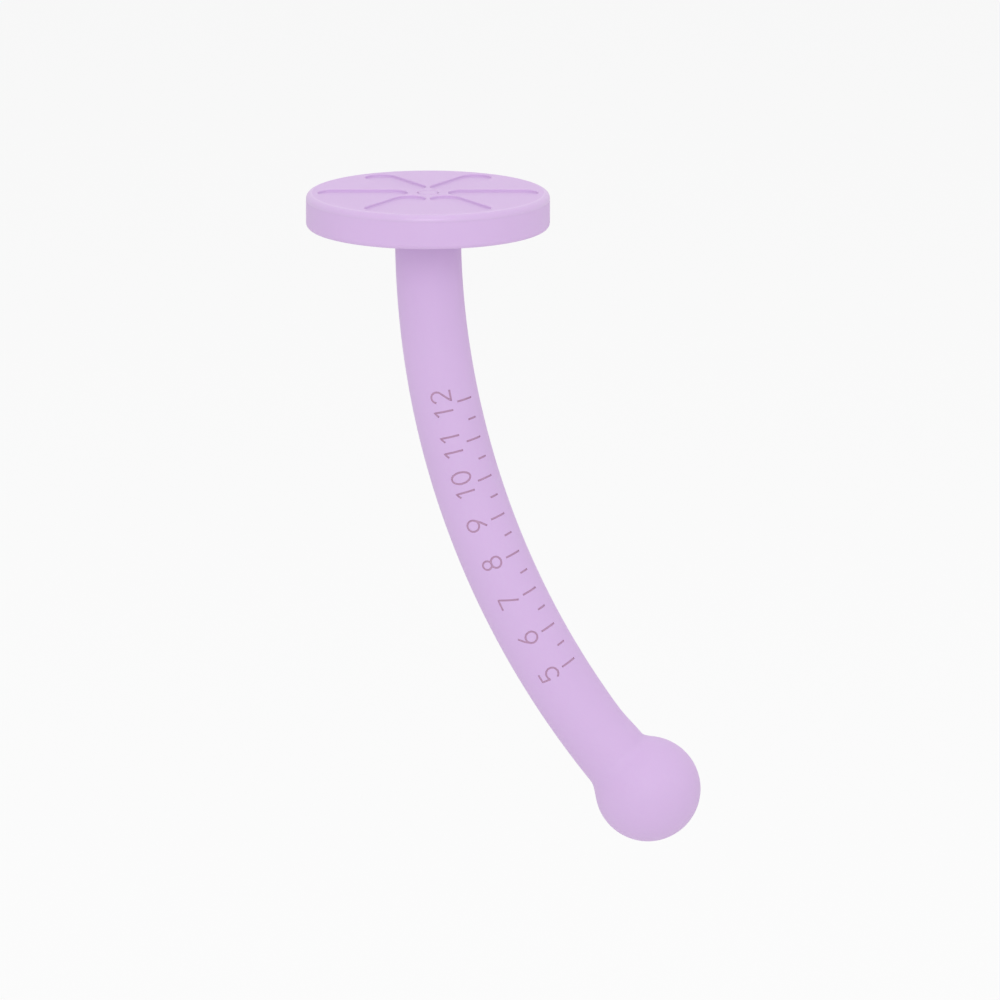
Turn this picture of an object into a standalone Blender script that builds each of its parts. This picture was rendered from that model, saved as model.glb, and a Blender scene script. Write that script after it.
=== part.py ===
"""Pelvic therapy wand: a curved, ball-tipped shaft on a round grip disc, in silicone over a rigid core.

Run it with blender --background --python part.py, or from Blender's text editor. Units are metres.
The origin is the middle of the disc's grip face, +Z points out of that face, and the shaft curves towards +X.
Most places are given as a depth: the distance from the grip face, measured down the shaft's centreline.
"""

import math

import bmesh
import bpy
from mathutils import Matrix, Vector

# Outside of the wand
DISC_DIAMETER = 0.0576
FACE_EDGE_RADIUS = 0.0014
UNDERSIDE_EDGE_RADIUS = 0.0012
ROOT_FILLET = 0.002  # where the shaft leaves the disc
SHAFT_DIAMETER_AT_DISC = 0.0156
SHAFT_DIAMETER_AT_WAIST = 0.0161
SHAFT_DIAMETER_AT_BALL = 0.0160
WAIST_SHARE = 0.42  # how far down the shaft its thickest place is
STRAIGHT_BELOW_DISC = 0.0008
ARC_RADIUS = 0.205
ARC_ANGLE = math.radians(41.4)
BALL_DIAMETER = 0.025
BALL_OFFSET = 0.0011  # the ball sits this far towards the inside of the curve
NECK_FLARE = 0.00055  # how much the shaft has widened, on the inside of the curve, where it meets the ball
NECK_FLARE_START = 0.020  # the flare's two ends, as distances from the ball's centre
NECK_FLARE_END = 0.011
NECK_BLEND = 0.0018  # how softly the flared shaft runs into the ball

# Layers of the disc, from the grip face down
PAD_LIP_THICKNESS = 0.0016
PAD_THICKNESS = 0.0024
PLATE_THICKNESS = 0.0025
FLOOR_THICKNESS = 0.0028

# Finger recesses in the grip face: plain slots with round ends, like spokes
RECESS_COUNT = 6
RECESS_WIDTH = 0.0076
RECESS_DEPTH = 0.0007
RECESS_RIM_MARGIN = 0.0028
RECESS_RIB = 0.001  # the least width of face between two neighbours

# Plug in the middle of the grip face
PLUG_HEAD_DIAMETER = 0.0047
PLUG_HEAD_THICKNESS = 0.0011
PLUG_STEM_DIAMETER = 0.003

# Silicone left outside the core
RIM_SKIN = 0.0046
BALL_SKIN = 0.0032

# Core
ROD_DIAMETER = 0.008
ROD_CHAMFER = 0.0005
ROD_PAST_BALL_CENTRE = 0.002
FLATS_ACROSS = 0.0066  # the rod's upper end has two flats, which stop the plate from turning
SOCKET_DEPTH = 0.007
WEB_THICKNESS = 0.0019  # plate material that the screw clamps
HUB_WALL = 0.0015
PLATE_CHAMFER = 0.0004
COLLAR_WALL = 0.0016
COLLAR_LENGTH = 0.005  # how far the tip core's collar reaches out of its ball
GROOVE_COUNT = 2  # grooves round the rod, which the tip core's plastic fills
GROOVE_WIDTH = 0.0014
GROOVE_DEPTH = 0.0006
GROOVE_PITCH = 0.0032
KEY_WIDTH = 0.0024  # groove round the tip core, which the jacket's silicone fills
KEY_DEPTH = 0.001
PEG_COUNT = 6  # silicone pegs that rise through the plate and carry the pad
PEG_DIAMETER = 0.0044
PEG_CIRCLE_RADIUS = 0.0152
PEG_ROOT = 0.001  # how deep a peg's foot is sunk in the jacket's floor

# M4 x 10 button-head screw, and its spring washer
SCREW_DIAMETER = 0.004
SCREW_LENGTH = 0.010
SCREW_HEAD_DIAMETER = 0.0076
SCREW_HEAD_HEIGHT = 0.0022
SCREW_KEY_ACROSS_FLATS = 0.0025
SCREW_KEY_DEPTH = 0.0013
THREAD_PITCH = 0.0007
THREAD_DEPTH = 0.0003
TAPPED_DEPTH = 0.009
WASHER_INNER_DIAMETER = 0.0044
WASHER_OUTER_DIAMETER = 0.0076
WASHER_THICKNESS = 0.0008
WASHER_SPLIT = math.radians(14)

# Gaps between neighbours
SKIN_GAP = 0.0003  # round everything that is moulded in silicone
FIT_GAP = 0.00015  # between hard pieces that fit in each other
SEAT_GAP = 0.0001  # under the screw's head, its washer and its crown
BORE_GAP = 0.0003  # between the screw's head and the wall of its pocket

# Fineness of the round shapes
SKIN_SEGMENTS = 64
CORE_SEGMENTS = 28
SMALL_SEGMENTS = 24
FILLET_STEPS = 4
RECESS_END_STEPS = 16
BALL_STEPS = 13
SHAFT_STEP = 0.006
NECK_STEP = 0.001
OVERSHOOT = 0.001  # how far a cutter reaches past what it cuts
SHARP_ANGLE = math.radians(32)

# Worked out from the sizes above
disc_radius = DISC_DIAMETER / 2
ball_radius = BALL_DIAMETER / 2
rod_radius = ROD_DIAMETER / 2
plate_radius = disc_radius - RIM_SKIN - SKIN_GAP
tip_radius = ball_radius - BALL_SKIN - SKIN_GAP
collar_radius = rod_radius + FIT_GAP + COLLAR_WALL
pocket_radius = max(SCREW_HEAD_DIAMETER, WASHER_OUTER_DIAMETER) / 2 + BORE_GAP
hub_radius = max(pocket_radius, rod_radius + FIT_GAP) + HUB_WALL

plate_top = PAD_THICKNESS + SKIN_GAP
plate_bottom = plate_top + PLATE_THICKNESS
floor_top = plate_bottom + SKIN_GAP
underside = floor_top + FLOOR_THICKNESS
head_top = plate_top + SEAT_GAP
head_seat = head_top + SCREW_HEAD_HEIGHT
washer_top = head_seat + SEAT_GAP
washer_bottom = washer_top + WASHER_THICKNESS
pocket_floor = washer_bottom + SEAT_GAP
web_bottom = pocket_floor + WEB_THICKNESS
rod_top = web_bottom + FIT_GAP
hub_end = rod_top + SOCKET_DEPTH
arc_start = underside + STRAIGHT_BELOW_DISC
ball_depth = arc_start + ARC_RADIUS * ARC_ANGLE
rod_end = ball_depth + ROD_PAST_BALL_CENTRE
collar_start = ball_depth - tip_radius - COLLAR_LENGTH


def clear_scene():
    for obj in list(bpy.data.objects):
        bpy.data.objects.remove(obj)


def make_material(name, colour, roughness, metallic=0.0):
    material = bpy.data.materials.new(name)
    material.use_nodes = True
    shader = material.node_tree.nodes["Principled BSDF"]
    shader.inputs["Base Color"].default_value = (*colour, 1.0)
    shader.inputs["Roughness"].default_value = roughness
    shader.inputs["Metallic"].default_value = metallic
    return material


def make_object(name, bm, material=None):
    """Puts a bmesh into the scene as one object. Without a material it is a cutter, which isn't rendered."""
    bmesh.ops.recalc_face_normals(bm, faces=bm.faces)
    mesh = bpy.data.meshes.new(name)
    bm.to_mesh(mesh)
    bm.free()
    mesh.shade_smooth()
    mesh.set_sharp_from_angle(angle=SHARP_ANGLE)
    obj = bpy.data.objects.new(name, mesh)
    bpy.context.scene.collection.objects.link(obj)
    if material:
        mesh.materials.append(material)
    else:
        obj.hide_render = True
        obj.display_type = "WIRE"
    return obj


def apply_boolean(target, other, operation):
    """Adds a Boolean modifier: DIFFERENCE cuts the other object away, UNION joins it on."""
    modifier = target.modifiers.new(f"{operation.lower()} {other.name}", "BOOLEAN")
    modifier.operation = operation
    modifier.solver = "EXACT"
    modifier.object = other


def at_depth(depth):
    """The place on the centreline at a depth, with local -Z pointing on down the shaft."""
    turn = max(depth - arc_start, 0.0) / ARC_RADIUS
    pivot = Vector((ARC_RADIUS, 0.0, -arc_start))
    down = Matrix.Translation((0.0, 0.0, -min(depth, arc_start)))
    return Matrix.Translation(pivot) @ Matrix.Rotation(-turn, 4, "Y") @ Matrix.Translation(-pivot) @ down


def at_ball(along):
    """A place on the ball's own axis, from its centre on towards its tip where along is positive."""
    return at_depth(ball_depth) @ Matrix.Translation((BALL_OFFSET, 0.0, -along))


def loft(stations, segments, pole=None):
    """A closed body through circles of (place, radius): the end cap is extruded from each to the next.

    The last cap is drawn out to a point where pole is given.
    """
    bm = bmesh.new()
    sized = [place @ Matrix.Scale(radius, 4) for place, radius in stations]
    bmesh.ops.create_circle(bm, cap_ends=True, radius=1.0, segments=segments, matrix=sized[0])
    bm.faces.ensure_lookup_table()
    cap = bm.faces[0]
    for before, after in zip(sized, sized[1:]):
        made = bmesh.ops.extrude_face_region(bm, geom=[cap, *cap.edges, *cap.verts])["geom"]
        cap = next(item for item in made if isinstance(item, bmesh.types.BMFace))
        verts = [item for item in made if isinstance(item, bmesh.types.BMVert)]
        bmesh.ops.transform(bm, matrix=after @ before.inverted(), verts=verts)
    if pole is not None:
        bmesh.ops.poke(bm, faces=[cap])["verts"][0].co = pole
    return bm


def down_the_shaft(profile):
    """Loft stations from (depth, radius) pairs."""
    return [(at_depth(depth), radius) for depth, radius in profile]


def quarter_round(radius, steps=FILLET_STEPS):
    """(1 - cos, sin) of a quarter turn in steps, times the radius."""
    angles = [math.pi / 2 * k / steps for k in range(steps + 1)]
    return [(radius * (1 - math.cos(a)), radius * math.sin(a)) for a in angles]


def evenly(start, end, step):
    """Values from start to end, both included, no further apart than step."""
    count = max(1, math.ceil(abs(end - start) / step))
    return [start + (end - start) * k / count for k in range(count + 1)]


def eased(share):
    """Runs smoothly from 0 to 1 as the share does, and stays there outside it."""
    share = min(1.0, max(0.0, share))
    return share * share * (3 - 2 * share)


def shaft_radius(depth):
    """Half the shaft's diameter at a depth: it swells a little towards its waist."""
    waist = underside + WAIST_SHARE * (ball_depth - underside)
    if depth < waist:
        start, end = SHAFT_DIAMETER_AT_DISC, SHAFT_DIAMETER_AT_WAIST
        share = (depth - underside) / (waist - underside)
    else:
        start, end = SHAFT_DIAMETER_AT_WAIST, SHAFT_DIAMETER_AT_BALL
        share = (depth - waist) / (ball_depth - waist)
    return (start + (end - start) * eased(share)) / 2


def softer_of(one, other):
    """The larger of two widths, rounded off where they are nearly the same."""
    overlap = max(NECK_BLEND - abs(one - other), 0.0)
    return max(one, other) + overlap**2 / (4 * NECK_BLEND)


def end_station(reach):
    """The ring at a distance before the ball's centre, through the neck or the ball or both.

    The ring's plane goes through the arc's centre, so the ball's section in it is a circle off the centreline.
    """
    to_ball = ARC_RADIUS - BALL_OFFSET
    turn = math.asin(reach / to_ball)
    depth = ball_depth - ARC_RADIUS * turn
    shift = ARC_RADIUS - to_ball * math.cos(turn)
    section = math.sqrt(ball_radius**2 - min(abs(reach), ball_radius) ** 2)
    flare = NECK_FLARE * eased((NECK_FLARE_START - reach) / (NECK_FLARE_START - NECK_FLARE_END))
    if reach > 0:
        inner = softer_of(shaft_radius(depth) + flare, section + shift)
        outer = softer_of(shaft_radius(depth), section - shift)
    else:
        inner = section + shift
        outer = section - shift
    middle = Matrix.Translation(((inner - outer) / 2, 0.0, 0.0))
    return at_depth(depth) @ middle, (inner + outer) / 2


def neck_and_ball():
    """Stations from the end of the plain shaft, down the neck and round the ball, and the ball's far point."""
    neck_end = SHAFT_DIAMETER_AT_BALL / 2
    reaches = evenly(NECK_FLARE_START, neck_end, NECK_STEP)
    first = math.acos(neck_end / ball_radius)
    for k in range(1, BALL_STEPS):
        reaches.append(ball_radius * math.cos(first + (math.pi - first) * k / BALL_STEPS))
    return [end_station(reach) for reach in reaches], end_station(-ball_radius)[0].translation


def tip_stations(grow):
    """Stations of the tip core's ball with its key groove. A positive grow makes the cavity round it."""
    radius = tip_radius + grow
    half_key = KEY_WIDTH / 2 - grow
    to_key = math.acos(half_key / radius)
    stations = []
    for side in (-1, 1):
        half = []
        for k in range(1, BALL_STEPS // 2 + 1):
            angle = to_key * k / (BALL_STEPS // 2)
            half.append((side * radius * math.cos(angle), radius * math.sin(angle)))
        half.append((side * half_key, radius - KEY_DEPTH))
        stations += half if side < 0 else half[::-1]
    return [(at_ball(along), size) for along, size in stations]


def rod_profile(grow):
    """(depth, radius) pairs of the rod inside the tip core. A positive grow makes the bore round it."""
    profile = []
    for k in range(GROOVE_COUNT):
        start = ball_depth - GROOVE_PITCH * (GROOVE_COUNT - k) + grow
        end = start + GROOVE_WIDTH - 2 * grow
        full = rod_radius + grow
        profile += [(start, full), (start, full - GROOVE_DEPTH), (end, full - GROOVE_DEPTH), (end, full)]
    return profile


def flats_cutter(name, grow):
    """Two blocks that leave the rod's upper end FLATS_ACROSS thick, plus grow on each side."""
    bm = bmesh.new()
    top = rod_top - OVERSHOOT
    bottom = hub_end + SKIN_GAP
    width = 2 * (rod_radius + OVERSHOOT)
    thickness = rod_radius
    for side in (-1, 1):
        middle = Vector((0.0, side * (FLATS_ACROSS / 2 + grow + thickness / 2), -(top + bottom) / 2))
        size = Matrix.Diagonal((width, thickness, bottom - top, 1.0))
        bmesh.ops.create_cube(bm, size=1.0, matrix=Matrix.Translation(middle) @ size)
    return make_object(name, bm)


def straight_cutter(name, radius, top, bottom, places=((0.0, 0.0),), segments=SMALL_SEGMENTS):
    """Upright round cutters from depth top to depth bottom, one at each (x, y)."""
    bm = bmesh.new()
    for x, y in places:
        middle = Matrix.Translation((x, y, -(top + bottom) / 2))
        bmesh.ops.create_cone(
            bm,
            cap_ends=True,
            segments=segments,
            radius1=radius,
            radius2=radius,
            depth=bottom - top,
            matrix=middle,
        )
    return make_object(name, bm)


def peg_places():
    """The pegs stand under the ribs between the recesses."""
    angles = [2 * math.pi * (k + 0.5) / PEG_COUNT for k in range(PEG_COUNT)]
    return [(PEG_CIRCLE_RADIUS * math.cos(a), PEG_CIRCLE_RADIUS * math.sin(a)) for a in angles]


def make_jacket(silicone):
    """Ball, shaft, underside and rim in one silicone moulding, hollow where the core lies."""
    rim_top = PAD_LIP_THICKNESS + SKIN_GAP
    profile = [(rim_top, disc_radius)]
    for inwards, down in quarter_round(UNDERSIDE_EDGE_RADIUS):
        profile.append((underside - UNDERSIDE_EDGE_RADIUS + down, disc_radius - inwards))
    root = SHAFT_DIAMETER_AT_DISC / 2
    for down, inwards in quarter_round(ROOT_FILLET):
        profile.append((underside + down, root + ROOT_FILLET - inwards))
    end_stations, pole = neck_and_ball()
    neck_start = ball_depth - NECK_FLARE_START
    for depth in evenly(underside + ROOT_FILLET, neck_start, SHAFT_STEP)[1:-1]:
        profile.append((depth, shaft_radius(depth)))
    outer = loft(down_the_shaft(profile) + end_stations, SKIN_SEGMENTS, pole)
    jacket = make_object("silicone_jacket", outer, silicone)

    rod_room = rod_radius + SKIN_GAP
    hub_room = hub_radius + SKIN_GAP
    collar_room = collar_radius + SKIN_GAP
    plate_room = plate_radius + SKIN_GAP
    room = [(rim_top - OVERSHOOT, plate_room), (floor_top, plate_room), (floor_top, hub_room)]
    room += [(hub_end + SKIN_GAP, hub_room)]
    room += [(depth, rod_room) for depth in evenly(hub_end + SKIN_GAP, collar_start - SKIN_GAP, SHAFT_STEP)]
    room += [(depth, collar_room) for depth in evenly(collar_start - SKIN_GAP, ball_depth, SHAFT_STEP)]
    core_room = make_object("core_room", loft(down_the_shaft(room), CORE_SEGMENTS))
    apply_boolean(jacket, core_room, "DIFFERENCE")
    tip_room = make_object("tip_room", loft(tip_stations(SKIN_GAP), CORE_SEGMENTS))
    apply_boolean(jacket, tip_room, "DIFFERENCE")
    pegs = straight_cutter("pegs", PEG_DIAMETER / 2, plate_top, floor_top + PEG_ROOT, peg_places())
    apply_boolean(jacket, pegs, "UNION")


def recess_cutter():
    """Slots with round ends that run out from the middle, as close to it as their ribs allow."""
    half_width = RECESS_WIDTH / 2
    outer_centre = disc_radius - RECESS_RIM_MARGIN - half_width
    inner_centre = (half_width + RECESS_RIB / 2) / math.sin(math.pi / RECESS_COUNT)
    outline = []
    for centre, start in ((outer_centre, -math.pi / 2), (inner_centre, math.pi / 2)):
        for k in range(RECESS_END_STEPS + 1):
            angle = start + math.pi * k / RECESS_END_STEPS
            x = centre + half_width * math.cos(angle)
            outline.append(Vector((x, half_width * math.sin(angle), OVERSHOOT)))
    bm = bmesh.new()
    for k in range(RECESS_COUNT):
        turn = Matrix.Rotation(2 * math.pi * k / RECESS_COUNT, 3, "Z")
        face = bm.faces.new([bm.verts.new(turn @ point) for point in outline])
        made = bmesh.ops.extrude_face_region(bm, geom=[face])["geom"]
        verts = [item for item in made if isinstance(item, bmesh.types.BMVert)]
        bmesh.ops.translate(bm, verts=verts, vec=(0.0, 0.0, -OVERSHOOT - RECESS_DEPTH))
    return make_object("recesses", bm)


def make_pad(silicone):
    """Grip face: a silicone lid whose lip closes the rim and whose boss lies on the plate."""
    profile = []
    for down, outwards in quarter_round(FACE_EDGE_RADIUS):
        profile.append((down, disc_radius - FACE_EDGE_RADIUS + outwards))
    profile += [(PAD_LIP_THICKNESS, disc_radius), (PAD_LIP_THICKNESS, plate_radius)]
    profile += [(PAD_THICKNESS, plate_radius)]
    pad = make_object("face_pad", loft(down_the_shaft(profile), SKIN_SEGMENTS), silicone)
    apply_boolean(pad, recess_cutter(), "DIFFERENCE")
    head_room = PLUG_HEAD_DIAMETER / 2 + SKIN_GAP
    stem_room = PLUG_STEM_DIAMETER / 2 + SKIN_GAP
    ledge = PLUG_HEAD_THICKNESS + SKIN_GAP
    apply_boolean(pad, straight_cutter("plug_head_room", head_room, -OVERSHOOT, ledge), "DIFFERENCE")
    stem_hole = straight_cutter("plug_stem_room", stem_room, 0.0, PAD_THICKNESS + OVERSHOOT)
    apply_boolean(pad, stem_hole, "DIFFERENCE")


def make_plug(silicone):
    """Plug that closes the hole over the screw, flush with the grip face."""
    head = PLUG_HEAD_DIAMETER / 2
    stem = PLUG_STEM_DIAMETER / 2
    profile = [(0.0, head), (PLUG_HEAD_THICKNESS, head), (PLUG_HEAD_THICKNESS, stem), (PAD_THICKNESS, stem)]
    make_object("centre_plug", loft(down_the_shaft(profile), SMALL_SEGMENTS), silicone)


def make_plate(nylon):
    """Stiff disc inside the grip, with a hub that takes the rod from below and the screw from above."""
    profile = [
        (plate_top, plate_radius - PLATE_CHAMFER),
        (plate_top + PLATE_CHAMFER, plate_radius),
        (plate_bottom - PLATE_CHAMFER, plate_radius),
        (plate_bottom, plate_radius - PLATE_CHAMFER),
        (plate_bottom, hub_radius),
        (hub_end - PLATE_CHAMFER, hub_radius),
        (hub_end, hub_radius - PLATE_CHAMFER),
    ]
    straight_profile = [(Matrix.Translation((0.0, 0.0, -depth)), radius) for depth, radius in profile]
    plate = make_object("handle_plate", loft(straight_profile, SKIN_SEGMENTS), nylon)
    pocket = straight_cutter("screw_pocket", pocket_radius, plate_top - OVERSHOOT, pocket_floor)
    apply_boolean(plate, pocket, "DIFFERENCE")
    screw_hole_radius = SCREW_DIAMETER / 2 + FIT_GAP
    screw_hole = straight_cutter("screw_hole", screw_hole_radius, plate_top, web_bottom + OVERSHOOT)
    apply_boolean(plate, screw_hole, "DIFFERENCE")
    depths = evenly(web_bottom, hub_end + OVERSHOOT, SOCKET_DEPTH / 4)
    socket_profile = [(depth, rod_radius + FIT_GAP) for depth in depths]
    socket = make_object("rod_socket", loft(down_the_shaft(socket_profile), CORE_SEGMENTS))
    apply_boolean(socket, flats_cutter("socket_flats", FIT_GAP), "DIFFERENCE")
    apply_boolean(plate, socket, "DIFFERENCE")
    holes = straight_cutter(
        "peg_holes",
        PEG_DIAMETER / 2 + SKIN_GAP,
        plate_top - OVERSHOOT,
        plate_bottom + OVERSHOOT,
        peg_places(),
    )
    apply_boolean(plate, holes, "DIFFERENCE")


def make_rod(steel):
    """Bent steel rod: flats and a tapped hole at the plate, grooves at the tip."""
    grooves = rod_profile(0.0)
    profile = [(rod_top, rod_radius - ROD_CHAMFER)]
    profile += [(depth, rod_radius) for depth in evenly(rod_top + ROD_CHAMFER, grooves[0][0], SHAFT_STEP)]
    profile += grooves[1:]
    profile += [(rod_end - ROD_CHAMFER, rod_radius), (rod_end, rod_radius - ROD_CHAMFER)]
    rod = make_object("stem_rod", loft(down_the_shaft(profile), CORE_SEGMENTS), steel)
    apply_boolean(rod, flats_cutter("rod_flats", 0.0), "DIFFERENCE")
    tap_radius = SCREW_DIAMETER / 2 + FIT_GAP
    tapped_hole = straight_cutter("tapped_hole", tap_radius, rod_top - OVERSHOOT, rod_top + TAPPED_DEPTH)
    apply_boolean(rod, tapped_hole, "DIFFERENCE")


def make_tip_core(nylon):
    """Plastic ball and collar moulded on the rod's grooved end."""
    tip = make_object("tip_core", loft(tip_stations(0.0), CORE_SEGMENTS), nylon)
    collar_profile = [(depth, collar_radius) for depth in evenly(collar_start, ball_depth, SHAFT_STEP)]
    collar = make_object("tip_collar", loft(down_the_shaft(collar_profile), CORE_SEGMENTS))
    apply_boolean(tip, collar, "UNION")
    bore_radius = rod_radius + FIT_GAP
    ridges = rod_profile(FIT_GAP)
    bore = [(depth, bore_radius) for depth in evenly(collar_start - OVERSHOOT, ridges[0][0], SHAFT_STEP)]
    bore += ridges[1:] + [(rod_end + FIT_GAP, bore_radius)]
    rod_bore = make_object("rod_bore", loft(down_the_shaft(bore), CORE_SEGMENTS))
    apply_boolean(tip, rod_bore, "DIFFERENCE")


def make_screw(steel):
    """Button-head screw, its thread drawn as rings."""
    crown = SCREW_HEAD_DIAMETER / 4
    head = SCREW_HEAD_DIAMETER / 2
    shank = SCREW_DIAMETER / 2
    core = shank - THREAD_DEPTH
    tip = head_seat + SCREW_LENGTH
    profile = []
    for down, outwards in quarter_round(1.0):
        profile.append((head_top + down * SCREW_HEAD_HEIGHT, crown + outwards * (head - crown)))
    profile += [(head_seat, shank)]
    thread_start = washer_bottom
    turns = int((tip - THREAD_PITCH - thread_start) / THREAD_PITCH)
    for k in range(turns):
        depth = thread_start + k * THREAD_PITCH
        profile += [(depth, shank), (depth + THREAD_PITCH / 2, core)]
    profile += [(tip - THREAD_PITCH, shank), (tip, core)]
    screw = make_object("plate_screw", loft(down_the_shaft(profile), SMALL_SEGMENTS), steel)
    key_radius = SCREW_KEY_ACROSS_FLATS / 2 / math.cos(math.pi / 6)
    key = straight_cutter(
        "screw_key",
        key_radius,
        head_top - OVERSHOOT,
        head_top + SCREW_KEY_DEPTH,
        segments=6,
    )
    apply_boolean(screw, key, "DIFFERENCE")


def make_washer(steel):
    """Split spring washer under the screw's head, drawn pressed flat."""
    inner = WASHER_INNER_DIAMETER / 2
    outer = WASHER_OUTER_DIAMETER / 2
    corners = ((inner, -washer_bottom), (outer, -washer_bottom), (outer, -washer_top), (inner, -washer_top))
    bm = bmesh.new()
    section = bm.faces.new([bm.verts.new((x, 0.0, z)) for x, z in corners])
    bmesh.ops.rotate(bm, verts=section.verts, matrix=Matrix.Rotation(WASHER_SPLIT / 2, 3, "Z"))
    bmesh.ops.spin(
        bm,
        geom=[section],
        axis=(0.0, 0.0, 1.0),
        angle=2 * math.pi - WASHER_SPLIT,
        steps=SMALL_SEGMENTS,
    )
    make_object("spring_washer", bm, steel)


def main():
    clear_scene()
    silicone = make_material("silicone", (0.57, 0.405, 0.655), 0.5)
    nylon = make_material("core_nylon", (0.72, 0.71, 0.68), 0.55)
    steel = make_material("steel", (0.62, 0.62, 0.63), 0.3, 1.0)
    make_jacket(silicone)
    make_pad(silicone)
    make_plug(silicone)
    make_plate(nylon)
    make_rod(steel)
    make_tip_core(nylon)
    make_screw(steel)
    make_washer(steel)


main()
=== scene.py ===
# %% [markdown]
# # A silicone therapy wand
# The wand is a hand tool: a round disc to hold, a slim bent shaft, and a ball on its end. A stiff core
# gives it its shape, and a soft skin of lavender silicone covers all of it. The core comes from the CAD
# model as it is. This lesson makes the skin, with the smooth runs, soft edges and shallow marks that a
# rubber mould gives.

# %% Load the CAD model
import math

import bmesh
import bpy
from mathutils import Matrix, Vector


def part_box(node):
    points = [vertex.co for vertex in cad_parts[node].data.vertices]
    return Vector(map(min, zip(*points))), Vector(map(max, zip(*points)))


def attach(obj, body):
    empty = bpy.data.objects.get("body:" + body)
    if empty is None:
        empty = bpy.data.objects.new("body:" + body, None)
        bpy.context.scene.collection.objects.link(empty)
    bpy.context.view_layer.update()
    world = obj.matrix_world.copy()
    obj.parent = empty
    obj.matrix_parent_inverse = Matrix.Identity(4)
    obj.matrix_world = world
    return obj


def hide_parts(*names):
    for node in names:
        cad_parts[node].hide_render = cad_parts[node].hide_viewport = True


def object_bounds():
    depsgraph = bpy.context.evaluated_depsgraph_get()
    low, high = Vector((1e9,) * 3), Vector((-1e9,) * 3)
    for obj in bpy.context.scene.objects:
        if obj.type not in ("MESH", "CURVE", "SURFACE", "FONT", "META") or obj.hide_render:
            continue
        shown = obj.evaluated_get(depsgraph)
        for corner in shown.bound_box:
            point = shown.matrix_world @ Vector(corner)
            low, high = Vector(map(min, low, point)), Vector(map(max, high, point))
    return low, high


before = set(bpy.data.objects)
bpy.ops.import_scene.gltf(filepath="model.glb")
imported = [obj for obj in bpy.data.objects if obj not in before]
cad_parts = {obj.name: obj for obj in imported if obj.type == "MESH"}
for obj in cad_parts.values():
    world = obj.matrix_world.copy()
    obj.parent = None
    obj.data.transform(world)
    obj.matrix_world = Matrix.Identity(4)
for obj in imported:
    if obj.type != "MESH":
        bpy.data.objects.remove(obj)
cad_low, cad_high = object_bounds()
BODY = "root"
print("CAD box in mm:", [round(1000 * v, 1) for v in cad_high - cad_low])

# %% [markdown]
# ## Measures
# Everything hangs on one line, the shaft's centreline. It leaves the disc straight down and then follows
# one arc towards +X. A place on the wand is a depth along that line, counted from the grip face. The
# disc's, plate's, pad's and plug's sizes are read from the CAD model; the other sizes it decides, and the
# moulded outside's own sizes, are written out here, in metres.

# %% Sizes of the skin
pad_low, pad_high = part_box("face_pad")
plate_low, plate_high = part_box("handle_plate")
plug_low, plug_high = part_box("centre_plug")

DISC_RADIUS = (pad_high.x - pad_low.x) / 2
PLATE_RADIUS = (plate_high.x - plate_low.x) / 2
PAD_THICKNESS = -pad_low.z
HUB_END = -plate_low.z
PLUG_RADIUS = (plug_high.x - plug_low.x) / 2

UNDERSIDE = 0.0083
FLOOR_TOP = 0.0055
LIP_THICKNESS = 0.0016
FACE_EDGE = 0.0014
UNDERSIDE_EDGE = 0.0012
ROOT_FILLET = 0.002

STRAIGHT_RUN = 0.0008
ARC_START = UNDERSIDE + STRAIGHT_RUN
ARC_RADIUS = 0.205
ARC_ANGLE = math.radians(41.4)
BALL_DEPTH = ARC_START + ARC_RADIUS * ARC_ANGLE
BALL_RADIUS = 0.0125
BALL_OFFSET = 0.0011
FLARE = 0.00055
FLARE_START = 0.020
FLARE_END = 0.011
NECK_BLEND = 0.0018

SHAFT_AT_DISC = 0.0078
SHAFT_AT_WAIST = 0.00805
SHAFT_AT_BALL = 0.008
WAIST_SHARE = 0.42
WAIST = UNDERSIDE + WAIST_SHARE * (BALL_DEPTH - UNDERSIDE)

GAP = 0.0003
HAIRLINE = 0.000008
print("disc radius in mm:", round(1000 * DISC_RADIUS, 2), "and ball depth:", round(1000 * BALL_DEPTH, 1))

# %% [markdown]
# ## Along the centreline
# A matrix says where a place is and which way it faces. This one walks down the centreline: straight
# first, then turned about the arc's centre. Whatever is made round the Z axis at the origin, such as a
# ring, lands square across the shaft when it's multiplied by it.


# %% Places on the centreline
def at_depth(depth):
    turn = max(depth - ARC_START, 0.0) / ARC_RADIUS
    pivot = Vector((ARC_RADIUS, 0.0, -ARC_START))
    down = Matrix.Translation((0.0, 0.0, -min(depth, ARC_START)))
    return Matrix.Translation(pivot) @ Matrix.Rotation(-turn, 4, "Y") @ Matrix.Translation(-pivot) @ down


at_ball = at_depth(BALL_DEPTH) @ Matrix.Translation((BALL_OFFSET, 0.0, 0.0))
ball_centre = at_ball.translation
print("ball centre in mm:", [round(1000 * v, 2) for v in ball_centre])

# %% [markdown]
# ## Lofting
# The skin is one long run of rings, wider here and narrower there. A filled circle is extruded from ring
# to ring: each step leaves a band of faces behind and carries the cap on. That is quicker and truer than
# a curve with a bevel, because each ring has its own width. A rounded edge is a few rings whose widths
# follow a quarter circle, with one more ring close beside it, which keeps the flat next to it shaded flat.


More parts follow.
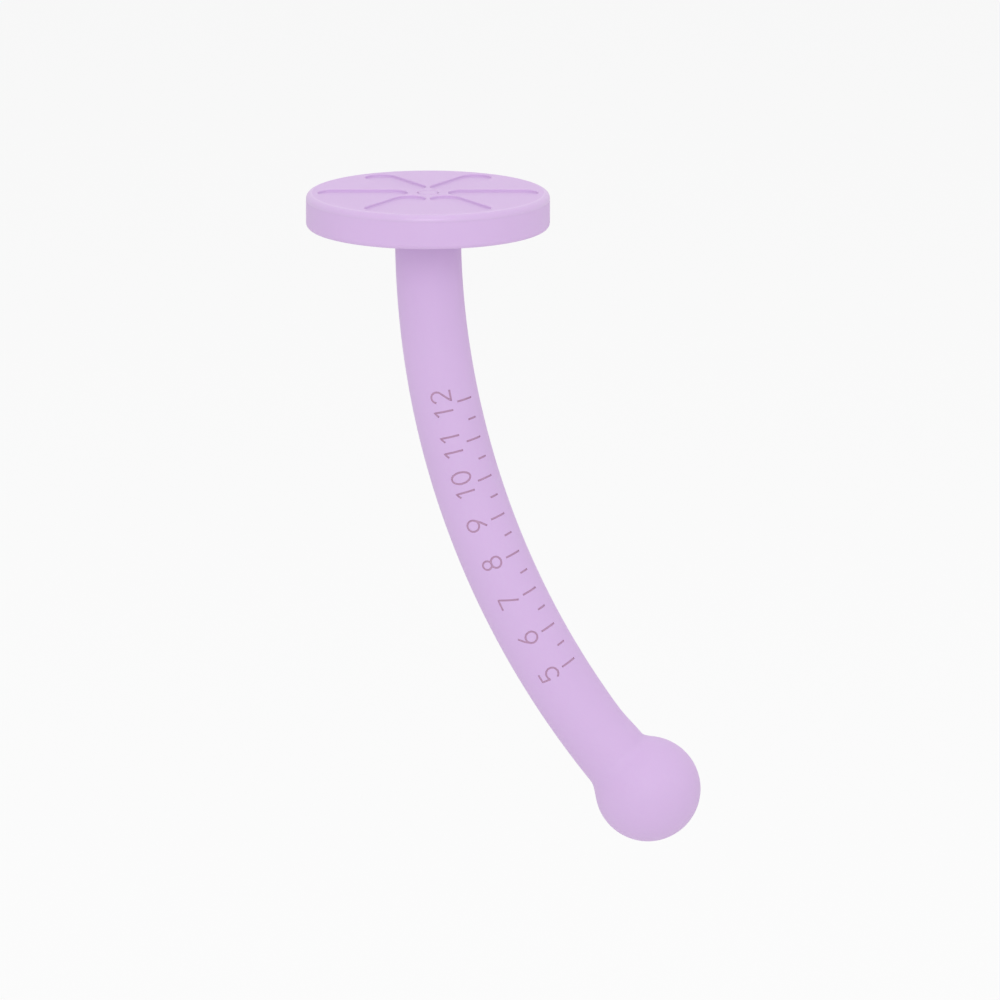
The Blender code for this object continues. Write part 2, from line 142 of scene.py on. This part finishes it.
# %% Rings into a closed body
def loft(stations, segments, pole=None):
    bm = bmesh.new()
    sized = [place @ Matrix.Scale(radius, 4) for place, radius in stations]
    bmesh.ops.create_circle(bm, cap_ends=True, radius=1.0, segments=segments, matrix=sized[0])
    bm.faces.ensure_lookup_table()
    cap = bm.faces[0]
    for before, after in zip(sized, sized[1:]):
        made = bmesh.ops.extrude_face_region(bm, geom=[cap, *cap.edges, *cap.verts])["geom"]
        cap = next(item for item in made if isinstance(item, bmesh.types.BMFace))
        verts = [item for item in made if isinstance(item, bmesh.types.BMVert)]
        bmesh.ops.transform(bm, matrix=after @ before.inverted(), verts=verts)
    if pole is not None:
        bmesh.ops.poke(bm, faces=[cap])["verts"][0].co = pole
    bmesh.ops.recalc_face_normals(bm, faces=bm.faces)
    return bm


def down_the_shaft(profile):
    return [(at_depth(depth), radius) for depth, radius in profile]


def quarter_round(radius, steps=8):
    angles = [math.pi / 2 * k / steps for k in range(steps + 1)]
    return [(radius * (1 - math.cos(a)), radius * math.sin(a)) for a in angles]


def evenly(start, end, step):
    count = max(1, math.ceil(abs(end - start) / step))
    return [start + (end - start) * k / count for k in range(count + 1)]


print("a quarter round of 1 mm has", len(quarter_round(0.001)), "rings")


# %% Meshes into objects, and cuts
SHARP_ANGLE = math.radians(40)


def make_object(name, bm, *materials):
    mesh = bpy.data.meshes.new(name)
    bm.to_mesh(mesh)
    bm.free()
    mesh.shade_smooth()
    for material in materials:
        mesh.materials.append(material)
    obj = bpy.data.objects.new(name, mesh)
    bpy.context.scene.collection.objects.link(obj)
    return obj


def cut(target, cutter, crossing=False):
    """Takes the cutter away from the target for good. New faces keep the cutter's own material.

    A cutter whose own parts run through each other is crossing, which takes the solver a little longer.
    """
    modifier = target.modifiers.new("cut", "BOOLEAN")
    modifier.operation = "DIFFERENCE"
    modifier.solver = "EXACT"
    modifier.material_mode = "TRANSFER"
    modifier.use_self = crossing
    modifier.object = cutter
    evaluated = target.evaluated_get(bpy.context.evaluated_depsgraph_get())
    mesh = bpy.data.meshes.new_from_object(evaluated)
    target.modifiers.clear()
    target.data = mesh
    bpy.data.objects.remove(cutter)


def finish_skin(piece, *nodes):
    """Flats stay flat beside their round edges, and the piece takes the CAD node's place."""
    piece.data.shade_smooth()
    piece.data.set_sharp_from_angle(angle=SHARP_ANGLE)
    flats = piece.modifiers.new("flats stay flat", "WEIGHTED_NORMAL")
    flats.keep_sharp = True
    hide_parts(*nodes)
    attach(piece, BODY)
    print(piece.name, "has", len(piece.data.polygons), "faces")


# %% [markdown]
# ## Silicone
# Moulded silicone is a matte, slightly see-through rubber. Its colour is even, but never quite: pigment
# clouds by a percent or two, and the blasted mould leaves a grain too fine to see as bumps, which only
# softens the shine. Both are worth one node group, because all the silicone shares them. The group reads
# Object coordinates, so the pattern stays in the rubber. The light that seeps through is the shader's own
# subsurface setting. Two materials differ from the plain skin: the rolled edge of the grip, where a
# polished mould leaves some gloss, and the engraved marks, whose deeper colour is partly their own tint
# and partly painted shade that stands for the shade in the grooves.


# %% A node group for moulded silicone
CLOUD_SCALE = 38.0
GRAIN_SCALE = 2600.0
ROUGHNESS_SPREAD = 0.06


def moulded_silicone_group():
    group = bpy.data.node_groups.new("moulded_silicone", "ShaderNodeTree")
    add = group.interface.new_socket
    add("Colour", in_out="INPUT", socket_type="NodeSocketColor")
    add("Clouding", in_out="INPUT", socket_type="NodeSocketFloat")
    add("Roughness", in_out="INPUT", socket_type="NodeSocketFloat")
    add("Colour", in_out="OUTPUT", socket_type="NodeSocketColor")
    add("Roughness", in_out="OUTPUT", socket_type="NodeSocketFloat")
    add("Grain", in_out="OUTPUT", socket_type="NodeSocketFloat")
    nodes = group.nodes
    links = group.links
    given = nodes.new("NodeGroupInput")
    result = nodes.new("NodeGroupOutput")
    place = nodes.new("ShaderNodeTexCoord")

    cloud = nodes.new("ShaderNodeTexNoise")
    cloud.inputs["Scale"].default_value = CLOUD_SCALE
    cloud.inputs["Detail"].default_value = 2.0
    centred = nodes.new("ShaderNodeMath")
    centred.operation = "SUBTRACT"
    centred.inputs[1].default_value = 0.5
    weighed = nodes.new("ShaderNodeMath")
    weighed.operation = "MULTIPLY_ADD"
    weighed.inputs[2].default_value = 1.0
    clouded = nodes.new("ShaderNodeHueSaturation")

    grain = nodes.new("ShaderNodeTexNoise")
    grain.inputs["Scale"].default_value = GRAIN_SCALE
    grain.inputs["Detail"].default_value = 3.0
    rougher = nodes.new("ShaderNodeMath")
    rougher.operation = "MULTIPLY_ADD"
    rougher.inputs[1].default_value = ROUGHNESS_SPREAD

    links.new(place.outputs["Object"], cloud.inputs["Vector"])
    links.new(place.outputs["Object"], grain.inputs["Vector"])
    links.new(cloud.outputs["Fac"], centred.inputs[0])
    links.new(centred.outputs[0], weighed.inputs[0])
    links.new(given.outputs["Clouding"], weighed.inputs[1])
    links.new(given.outputs["Colour"], clouded.inputs["Color"])
    links.new(weighed.outputs[0], clouded.inputs["Value"])
    links.new(clouded.outputs["Color"], result.inputs["Colour"])
    links.new(cloud.outputs["Fac"], rougher.inputs[0])
    links.new(given.outputs["Roughness"], rougher.inputs[2])
    links.new(rougher.outputs[0], result.inputs["Roughness"])
    links.new(grain.outputs["Fac"], result.inputs["Grain"])
    return group


silicone_group = moulded_silicone_group()
print("group sockets:", [item.name for item in silicone_group.interface.items_tree])


# %% Plain, polished and marked silicone
CLOUDING = 0.06
GRAIN_STRENGTH = 0.12
GRAIN_HEIGHT = 0.00003
SEEP_WEIGHT = 0.12
SEEP_BY_COLOUR = (1.0, 0.7, 0.9)
SEEP_REACH = 0.001


def silicone_material(name, colour, roughness, gloss):
    material = bpy.data.materials.new(name)
    material.use_nodes = True
    nodes = material.node_tree.nodes
    links = material.node_tree.links
    shader = nodes["Principled BSDF"]
    moulded = nodes.new("ShaderNodeGroup")
    moulded.node_tree = silicone_group
    moulded.inputs["Colour"].default_value = (*colour, 1.0)
    moulded.inputs["Clouding"].default_value = CLOUDING
    moulded.inputs["Roughness"].default_value = roughness
    bump = nodes.new("ShaderNodeBump")
    bump.inputs["Strength"].default_value = GRAIN_STRENGTH
    bump.inputs["Distance"].default_value = GRAIN_HEIGHT
    links.new(moulded.outputs["Colour"], shader.inputs["Base Color"])
    links.new(moulded.outputs["Roughness"], shader.inputs["Roughness"])
    links.new(moulded.outputs["Grain"], bump.inputs["Height"])
    links.new(bump.outputs["Normal"], shader.inputs["Normal"])
    shader.inputs["Specular IOR Level"].default_value = gloss
    shader.inputs["Subsurface Weight"].default_value = SEEP_WEIGHT
    shader.inputs["Subsurface Radius"].default_value = SEEP_BY_COLOUR
    shader.inputs["Subsurface Scale"].default_value = SEEP_REACH
    return material


LAVENDER = (0.584, 0.414, 0.672)
# The marks' mauve is partly their own tint and partly painted shade: it is darker to stand for the shade in
# the grooves.
MAUVE_WITH_PAINTED_SHADE = (0.47, 0.29, 0.44)
silicone = silicone_material("lavender_silicone", LAVENDER, roughness=0.5, gloss=0.25)
edge_silicone = silicone_material("polished_silicone", LAVENDER, roughness=0.34, gloss=0.6)
mark_tint_and_painted_shade = silicone_material("mark_tint_and_painted_shade", MAUVE_WITH_PAINTED_SHADE, roughness=0.6, gloss=0.25)
print("materials:", silicone.name, edge_silicone.name, mark_tint_and_painted_shade.name)

# %% [markdown]
# ## The jacket
# The jacket is the ball, the neck, the shaft, and the disc's underside and rim, in one moulding. The
# shaft's radius grows by a quarter of a millimetre towards its waist, and a smooth step blends one width
# into the next. Every ring's plane goes through the middle of the shaft's arc, and so cuts the ball in a
# circle too. The neck needs no fillet of its own then: on each side it is the larger of two widths, the
# shaft's and the ball's, rounded off where they meet. On the inside of the curve the shaft flares a
# little first.


# %% Widths along the jacket
def eased(share):
    share = min(1.0, max(0.0, share))
    return share * share * (3 - 2 * share)


def shaft_radius(depth):
    if depth < WAIST:
        share = (depth - UNDERSIDE) / (WAIST - UNDERSIDE)
        return SHAFT_AT_DISC + (SHAFT_AT_WAIST - SHAFT_AT_DISC) * eased(share)
    share = (depth - WAIST) / (BALL_DEPTH - WAIST)
    return SHAFT_AT_WAIST + (SHAFT_AT_BALL - SHAFT_AT_WAIST) * eased(share)


def softer_of(one, other):
    overlap = max(NECK_BLEND - abs(one - other), 0.0)
    return max(one, other) + overlap**2 / (4 * NECK_BLEND)


def end_station(reach):
    """The ring at a distance before the ball's centre."""
    to_ball = ARC_RADIUS - BALL_OFFSET
    turn = math.asin(reach / to_ball)
    depth = BALL_DEPTH - ARC_RADIUS * turn
    shift = ARC_RADIUS - to_ball * math.cos(turn)
    section = math.sqrt(BALL_RADIUS**2 - min(abs(reach), BALL_RADIUS) ** 2)
    inner = section + shift
    outer = section - shift
    if reach > 0:
        flare = FLARE * eased((FLARE_START - reach) / (FLARE_START - FLARE_END))
        inner = softer_of(shaft_radius(depth) + flare, inner)
        outer = softer_of(shaft_radius(depth), outer)
    return at_depth(depth) @ Matrix.Translation(((inner - outer) / 2, 0.0, 0.0)), (inner + outer) / 2


print("neck width in mm:", [round(2000 * end_station(r)[1], 2) for r in (0.02, 0.015, 0.011, 0.009)])

# %% Rings of the jacket
RINGS = 128
BALL_STEPS = 44
SHAFT_STEP = 0.0015
NECK_STEP = 0.0005
SUPPORT = 0.00025
rim_top = LIP_THICKNESS + HAIRLINE
side_end = UNDERSIDE - UNDERSIDE_EDGE
jacket_profile = [(rim_top, DISC_RADIUS), (side_end - SUPPORT, DISC_RADIUS)]
for inwards, down in quarter_round(UNDERSIDE_EDGE):
    jacket_profile.append((side_end + down, DISC_RADIUS - inwards))
jacket_profile.append((UNDERSIDE, DISC_RADIUS - UNDERSIDE_EDGE - SUPPORT))
jacket_profile.append((UNDERSIDE, SHAFT_AT_DISC + ROOT_FILLET + SUPPORT))
for down, inwards in quarter_round(ROOT_FILLET):
    jacket_profile.append((UNDERSIDE + down, SHAFT_AT_DISC + ROOT_FILLET - inwards))
for depth in evenly(UNDERSIDE + ROOT_FILLET, BALL_DEPTH - FLARE_START, SHAFT_STEP)[1:-1]:
    jacket_profile.append((depth, shaft_radius(depth)))
reaches = evenly(FLARE_START, SHAFT_AT_BALL, NECK_STEP)
first = math.acos(SHAFT_AT_BALL / BALL_RADIUS)
for k in range(1, BALL_STEPS):
    reaches.append(BALL_RADIUS * math.cos(first + (math.pi - first) * k / BALL_STEPS))
jacket_stations = down_the_shaft(jacket_profile) + [end_station(reach) for reach in reaches]
ball_pole = end_station(-BALL_RADIUS)[0].translation
jacket = make_object("jacket_skin", loft(jacket_stations, RINGS, ball_pole), silicone)
print("rings:", len(jacket_stations))

# %% [markdown]
# The core lies in a hollow in the jacket. The hollow is a loft as well, cut away with a Boolean: wide
# round the plate, narrower round its hub, narrow round the rod, wider round the tip's collar, and a ball
# at the end. It stays a fraction of a millimetre clear of the CAD core. The radii of the rod, hub and
# collar are written out, because the box round a bent or stepped piece doesn't give them.

# %% The hollow for the core
tip_low, tip_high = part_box("tip_core")
ROD_RADIUS = 0.004
HUB_RADIUS = 0.00565
COLLAR_RADIUS = 0.00575
TIP_RADIUS = (tip_high.y - tip_low.y) / 2
COLLAR_LENGTH = 0.005
COLLAR_START = BALL_DEPTH - TIP_RADIUS - COLLAR_LENGTH
HOLLOW_STEP = 0.004
HOLLOW_SIDES = 48

hollow_profile = [(0.0, PLATE_RADIUS + GAP), (FLOOR_TOP, PLATE_RADIUS + GAP)]
for start, end, radius in (
    (FLOOR_TOP, HUB_END + GAP, HUB_RADIUS),
    (HUB_END + GAP, COLLAR_START - GAP, ROD_RADIUS),
    (COLLAR_START - GAP, BALL_DEPTH, COLLAR_RADIUS),
):
    for depth in evenly(start, end, HOLLOW_STEP):
        hollow_profile.append((depth, radius + GAP))
cut(jacket, make_object("hollow", loft(down_the_shaft(hollow_profile), HOLLOW_SIDES), silicone))

tip_room = bmesh.new()
tip_size = TIP_RADIUS + GAP
bmesh.ops.create_uvsphere(
    tip_room, u_segments=HOLLOW_SIDES, v_segments=HOLLOW_SIDES // 2, radius=tip_size, matrix=at_ball
)
cut(jacket, make_object("tip_room", tip_room, silicone))
print("jacket faces with its hollow:", len(jacket.data.polygons))

# %% [markdown]
# ## Depth marks
# Fine grooves on the shaft's front tell how deep the wand is, in centimetres from the tip. They read up
# the shaft. Each groove is the cut of a thin round bar, lofted along points that lie on the surface: a
# point is a depth and a distance across the shaft, measured round it. The surface's own direction turns
# every ring of the bar, which keeps it from twisting. The bars carry the deeper mauve, and the grooves'
# faces take it on: partly the marks' own tint, and partly painted shade that stands for the shade in them.

# %% Bars round the shaft
MARK_RADIUS = 0.00024
MARK_SIDES = 10
MARKS_EDGE = math.radians(38)


def on_shaft(depth, across):
    radius = shaft_radius(depth)
    angle = -MARKS_EDGE - across / radius
    return at_depth(depth) @ Vector((radius * math.cos(angle), radius * math.sin(angle), 0.0))


def bar_stations(points):
    places = [on_shaft(depth, across) for depth, across in points]
    befores = places[:1] + places[:-1]
    afters = places[1:] + places[-1:]
    stations = []
    for (depth, _), before, place, after in zip(points, befores, places, afters):
        outwards = (place - at_depth(depth).translation).normalized()
        along = (after - before).normalized()
        turn = Matrix((outwards, along.cross(outwards), along)).transposed().to_4x4()
        stations.append((Matrix.Translation(place) @ turn, MARK_RADIUS))
    return stations


def add_bar(bars, points):
    bar = loft(bar_stations(points), MARK_SIDES)
    mesh = bpy.data.meshes.new("bar")
    bar.to_mesh(mesh)
    bar.free()
    bars.from_mesh(mesh)
    bpy.data.meshes.remove(mesh)


print("a bar of two points has", len(bar_stations([(0.05, 0.0), (0.05, 0.001)])), "rings")

# %% [markdown]
# The numbers are drawn with a pen of one width, as a stroke font is: each digit is a line or two through
# a few points and arcs, in a box 0.6 wide and 1 high.


# %% Digits from lines and arcs
DIGIT_WIDTH = 0.6


def arc(x, y, width, height, start, end, steps=16):
    angles = [math.radians(start + (end - start) * k / steps) for k in range(steps + 1)]
    return [(x + width / 2 * math.cos(a), y + height / 2 * math.sin(a)) for a in angles]


def filled_in(points, step=0.12):
    """The same line with more points on its long runs, so that it can bend round the shaft."""
    line = [points[0]]
    for (x0, y0), (x1, y1) in zip(points, points[1:]):
        count = max(1, math.ceil(math.hypot(x1 - x0, y1 - y0) / step))
        line += [(x0 + (x1 - x0) * k / count, y0 + (y1 - y0) * k / count) for k in range(1, count + 1)]
    return line


six = [[(0.5, 1.0), (0.22, 0.72)] + arc(0.3, 0.31, 0.6, 0.62, 155, 515)]
DIGITS = {
    "0": [arc(0.3, 0.5, 0.6, 1.0, 90, 450)],
    "1": [[(0.1, 0.8), (0.34, 1.0), (0.34, 0.0)]],
    "2": [arc(0.3, 0.7, 0.56, 0.6, 165, -35) + [(0.02, 0.0), (0.6, 0.0)]],
    "5": [[(0.54, 1.0), (0.12, 1.0), (0.07, 0.56)] + arc(0.28, 0.32, 0.64, 0.64, 125, -150)],
    "6": six,
    "7": [[(0.0, 1.0), (0.58, 1.0), (0.2, 0.0)]],
    "8": [arc(0.3, 0.76, 0.46, 0.48, -90, 270), arc(0.3, 0.27, 0.6, 0.54, 90, 450)],
    "9": [[(DIGIT_WIDTH - x, 1.0 - y) for x, y in six[0]]],
}
print("digits:", " ".join(DIGITS))

# %% [markdown]
# A long mark and its number stand at every centimetre, and a short mark halfway to the next one.

# %% Cut the marks and numbers
TIP_DEPTH = BALL_DEPTH + BALL_RADIUS
CENTIMETRE = 0.01
NUMBERS = range(5, 13)
SHORT_MARK = 0.0024
LONG_MARK = 0.0042
MARK_STEP = 0.0006
DIGIT_HEIGHT = 0.0046
DIGIT_BASE = 0.0056
DIGIT_ADVANCE = 0.82

bars = bmesh.new()
for number in NUMBERS:
    depth = TIP_DEPTH - CENTIMETRE * number
    halfway = depth - CENTIMETRE / 2
    add_bar(bars, [(depth, across) for across in evenly(0.0, LONG_MARK, MARK_STEP)])
    if number != NUMBERS[-1]:
        add_bar(bars, [(halfway, across) for across in evenly(0.0, SHORT_MARK, MARK_STEP)])
    digits = str(number)
    start = -(DIGIT_ADVANCE * (len(digits) - 1) + DIGIT_WIDTH) / 2
    for place, digit in enumerate(digits):
        for line in DIGITS[digit]:
            points = [(start + DIGIT_ADVANCE * place + x, y) for x, y in filled_in(line)]
            add_bar(bars, [(depth - DIGIT_HEIGHT * x, DIGIT_BASE + DIGIT_HEIGHT * y) for x, y in points])
bmesh.ops.recalc_face_normals(bars, faces=bars.faces)
# The grooves' faces take the bars' deeper mauve: partly the marks' own tint, partly painted shade in the
# grooves.
cut(jacket, make_object("mark_bars", bars, mark_tint_and_painted_shade), crossing=True)
finish_skin(jacket, "silicone_jacket")

# %% [markdown]
# ## The grip face
# The face is a lid of the same silicone. Its top edge is rolled over, and six shallow slots run out from
# the middle like spokes, for the fingertips. Each slot is cut with a tray: a circle pulled long, then
# inset step by step as it goes down. The insets give it a soft lip where it opens and a small fillet
# round its floor. The faces of the rolled edge take the polished silicone, the second of the lid's two
# materials.

# %% Lid with a rolled edge
pad_profile = [(0.0, DISC_RADIUS - FACE_EDGE - SUPPORT)]
for down, outwards in quarter_round(FACE_EDGE):
    pad_profile.append((down, DISC_RADIUS - FACE_EDGE + outwards))
pad_profile.append((LIP_THICKNESS, DISC_RADIUS))
pad_profile.append((LIP_THICKNESS, PLATE_RADIUS))
pad_profile.append((PAD_THICKNESS, PLATE_RADIUS))
pad = make_object("grip_face", loft(down_the_shaft(pad_profile), RINGS), silicone, edge_silicone)
edge_faces = [face for face in pad.data.polygons if face.center.xy.length > DISC_RADIUS - FACE_EDGE]
for face in edge_faces:
    face.material_index = 1
print("faces of the rolled edge:", len(edge_faces))

# %% Trays for the slots
SLOT_COUNT = 6
SLOT_WIDTH = 0.0076
SLOT_DEPTH = 0.0007
SLOT_LIP = 0.0003
SLOT_FLOOR_FILLET = 0.0003
SLOT_RIM_MARGIN = 0.0028
SLOT_RIB = 0.001
SLOT_SEGMENTS = 64
SMALL_ROUND_STEPS = 4
OVERSHOOT = 0.001


def sink(bm, cap, down):
    made = bmesh.ops.extrude_face_region(bm, geom=[cap, *cap.edges, *cap.verts])["geom"]
    cap = next(item for item in made if isinstance(item, bmesh.types.BMFace))
    bmesh.ops.translate(bm, verts=cap.verts, vec=(0.0, 0.0, -down))
    return cap


def steps_of(points):
    return [(b[0] - a[0], b[1] - a[1]) for a, b in zip(points, points[1:])]


def slot_tray(turn):
    half_width = SLOT_WIDTH / 2
    outer = DISC_RADIUS - SLOT_RIM_MARGIN - half_width
    inner = (half_width + SLOT_RIB / 2) / math.sin(math.pi / SLOT_COUNT)
    half_step = math.pi / SLOT_SEGMENTS
    bm = bmesh.new()
    start = Matrix.Translation((outer, 0.0, OVERSHOOT)) @ Matrix.Rotation(half_step, 4, "Z")
    radius = (half_width + SLOT_LIP) / math.cos(half_step)
    bmesh.ops.create_circle(bm, cap_ends=True, radius=radius, segments=SLOT_SEGMENTS, matrix=start)
    nearer = [v for v in bm.verts if v.co.x < outer]
    bmesh.ops.translate(bm, verts=nearer, vec=(inner - outer, 0.0, 0.0))
    bm.faces.ensure_lookup_table()
    cap = sink(bm, bm.faces[0], OVERSHOOT)
    bmesh.ops.recalc_face_normals(bm, faces=bm.faces)
    lip = steps_of([(out, down) for down, out in quarter_round(SLOT_LIP, SMALL_ROUND_STEPS)])
    for inwards, down in lip:
        bmesh.ops.inset_region(bm, faces=[cap], thickness=inwards, depth=down, use_even_offset=True)
    cap = sink(bm, cap, SLOT_DEPTH - SLOT_LIP - SLOT_FLOOR_FILLET)
    fillet = steps_of(quarter_round(SLOT_FLOOR_FILLET, SMALL_ROUND_STEPS))
    for inwards, down in fillet:
        bmesh.ops.inset_region(bm, faces=[cap], thickness=inwards, depth=down, use_even_offset=True)
    bmesh.ops.rotate(bm, verts=bm.verts, matrix=Matrix.Rotation(turn, 3, "Z"))
    bmesh.ops.recalc_face_normals(bm, faces=bm.faces)
    return bm


for k in range(SLOT_COUNT):
    cut(pad, make_object("slot_tray", slot_tray(2 * math.pi * k / SLOT_COUNT), silicone))
print("grip face after its slots:", len(pad.data.polygons), "faces")

# %% [markdown]
# ## The plug
# A small round plug closes the hole in the middle, over the screw that holds the core together. It is
# flush with the face, and only a fine ring of shadow shows its edge. The hole has the same two steps as
# the plug.

# %% Hole and plug
PLUG_HEAD = 0.0011
PLUG_STEM_RADIUS = 0.0015
PLUG_EDGE = 0.00025
PLUG_SEAM = 0.00016
PLUG_SIDES = 64

ledge = PLUG_HEAD + PLUG_SEAM
hole_profile = [(-OVERSHOOT, PLUG_RADIUS + PLUG_SEAM + PLUG_EDGE)]
for outwards, up in quarter_round(PLUG_EDGE, SMALL_ROUND_STEPS)[::-1]:
    hole_profile.append((PLUG_EDGE - up, PLUG_RADIUS + PLUG_SEAM + outwards))
hole_profile += [(ledge, PLUG_RADIUS + PLUG_SEAM), (ledge, PLUG_STEM_RADIUS + PLUG_SEAM)]
hole_profile.append((PAD_THICKNESS + OVERSHOOT, PLUG_STEM_RADIUS + PLUG_SEAM))
cut(pad, make_object("plug_hole", loft(down_the_shaft(hole_profile), PLUG_SIDES), silicone))
finish_skin(pad, "face_pad")

plug_profile = [(0.0, PLUG_RADIUS - PLUG_EDGE - SUPPORT)]
for down, outwards in quarter_round(PLUG_EDGE, SMALL_ROUND_STEPS):
    plug_profile.append((down, PLUG_RADIUS - PLUG_EDGE + outwards))
plug_profile += [(PLUG_HEAD, PLUG_RADIUS), (PLUG_HEAD, PLUG_STEM_RADIUS), (PAD_THICKNESS, PLUG_STEM_RADIUS)]
plug = make_object("plug_cap", loft(down_the_shaft(plug_profile), PLUG_SIDES), silicone)
finish_skin(plug, "centre_plug")

# %% [markdown]
# ## The core's finishes
# The core doesn't show, but it is there when the skin is taken off, so its pieces get their own finishes.
# The plate and the tip are moulded nylon, cloudy and a little rough. The rod, screw and washer are plain
# steel, with the fine lines that drawing and turning leave.


# %% Nylon and steel
SHADED = 0.88
CORE_ROUGHNESS_SPREAD = 0.15


def core_material(name, colour, metallic, roughness, streaks):
    material = bpy.data.materials.new(name)
    material.use_nodes = True
    nodes = material.node_tree.nodes
    links = material.node_tree.links
    shader = nodes["Principled BSDF"]
    place = nodes.new("ShaderNodeTexCoord")
    stretched = nodes.new("ShaderNodeMapping")
    stretched.inputs["Scale"].default_value = streaks
    noise = nodes.new("ShaderNodeTexNoise")
    noise.inputs["Scale"].default_value = 1.0
    noise.inputs["Detail"].default_value = 3.0
    shades = nodes.new("ShaderNodeValToRGB")
    shades.color_ramp.elements[0].color = (*[SHADED * c for c in colour], 1.0)
    shades.color_ramp.elements[1].color = (*colour, 1.0)
    rougher = nodes.new("ShaderNodeMath")
    rougher.operation = "MULTIPLY_ADD"
    rougher.inputs[1].default_value = CORE_ROUGHNESS_SPREAD
    rougher.inputs[2].default_value = roughness
    links.new(place.outputs["Object"], stretched.inputs["Vector"])
    links.new(stretched.outputs["Vector"], noise.inputs["Vector"])
    links.new(noise.outputs["Fac"], shades.inputs["Fac"])
    links.new(noise.outputs["Fac"], rougher.inputs[0])
    links.new(shades.outputs["Color"], shader.inputs["Base Color"])
    links.new(rougher.outputs[0], shader.inputs["Roughness"])
    shader.inputs["Metallic"].default_value = metallic
    return material


NATURAL_NYLON = (0.72, 0.71, 0.68)
BRIGHT_STEEL = (0.62, 0.62, 0.63)
nylon = core_material("moulded_nylon", NATURAL_NYLON, 0.0, roughness=0.45, streaks=(300, 300, 300))
steel = core_material("drawn_steel", BRIGHT_STEEL, 1.0, roughness=0.22, streaks=(2500, 2500, 120))
finishes = {
    "handle_plate": nylon,
    "tip_core": nylon,
    "stem_rod": steel,
    "plate_screw": steel,
    "spring_washer": steel,
}
for node, material in finishes.items():
    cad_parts[node].material_slots[0].material = material
print("finishes:", {node: material.name for node, material in finishes.items()})

# %% [markdown]
# ## Floor, light and camera
# The wand is shown as if held up in a white room. The floor is far enough below to take no shadow in view,
# and it glows faintly, so that it is as pale as the world behind it. Three wide soft lights stand round
# the wand: a key in front and a little above, one almost straight above, and a rim light behind. A long
# lens from far away keeps the proportions true, as in a catalogue.

# %% Floor
FLOOR_DROP = 0.4
FLOOR_REACH = 20.0
FLOOR_GREY = (0.5, 0.5, 0.5, 1.0)
FLOOR_GLOW = 0.435
WHITE = (1.0, 1.0, 1.0, 1.0)
floor_mesh = bmesh.new()
floor_place = Matrix.Translation((0.0, 0.0, cad_low.z - FLOOR_DROP))
bmesh.ops.create_grid(floor_mesh, x_segments=1, y_segments=1, size=FLOOR_REACH, matrix=floor_place)
floor_material = bpy.data.materials.new("pale_floor")
floor_material.use_nodes = True
floor_shader = floor_material.node_tree.nodes["Principled BSDF"]
floor_shader.inputs["Base Color"].default_value = FLOOR_GREY
floor_shader.inputs["Roughness"].default_value = 1.0
floor_shader.inputs["Specular IOR Level"].default_value = 0.0
floor_shader.inputs["Emission Color"].default_value = WHITE
floor_shader.inputs["Emission Strength"].default_value = FLOOR_GLOW
floor = make_object("floor", floor_mesh, floor_material)

# %% Light
WORLD_STRENGTH = 0.947
LIGHT_SIZE = 1.5
LIGHT_DISTANCE = 3.0

world = bpy.data.worlds.new("white_room")
world.use_nodes = True
background = world.node_tree.nodes["Background"]
background.inputs["Color"].default_value = WHITE
background.inputs["Strength"].default_value = WORLD_STRENGTH
bpy.context.scene.world = world

middle = (cad_low + cad_high) / 2


def look_from(obj, target, azimuth, elevation, distance):
    level = math.cos(elevation)
    back = Vector((math.sin(azimuth) * level, -math.cos(azimuth) * level, math.sin(elevation)))
    obj.location = target + back * distance
    obj.rotation_euler = (-back).to_track_quat("-Z", "Y").to_euler()
    bpy.context.scene.collection.objects.link(obj)


def soft_light(name, azimuth, elevation, power):
    data = bpy.data.lights.new(name, "AREA")
    data.shape = "DISK"
    data.size = LIGHT_SIZE
    data.energy = power
    light = bpy.data.objects.new(name, data)
    look_from(light, middle, math.radians(azimuth), math.radians(elevation), LIGHT_DISTANCE)
    print(name, "light of", power, "W")


soft_light("key", azimuth=0, elevation=22, power=19.8)
soft_light("top", azimuth=0, elevation=88, power=7.5)
soft_light("rim", azimuth=180, elevation=40, power=4.2)
bpy.context.scene.view_settings.view_transform = "Standard"

# %% Camera
CAMERA_ELEVATION = math.radians(11.5)
LENS_MM = 1000.0
VIEW_WIDTH = 0.2366
AIM = Vector((0.017, 0.0, -0.0741))

camera_data = bpy.data.cameras.new("camera")
camera_data.lens = LENS_MM
camera = bpy.data.objects.new("camera", camera_data)
camera_distance = LENS_MM * VIEW_WIDTH / camera_data.sensor_width
look_from(camera, AIM, 0.0, CAMERA_ELEVATION, camera_distance)
bpy.context.scene.camera = camera
print("camera distance in m:", round(camera_distance, 3))
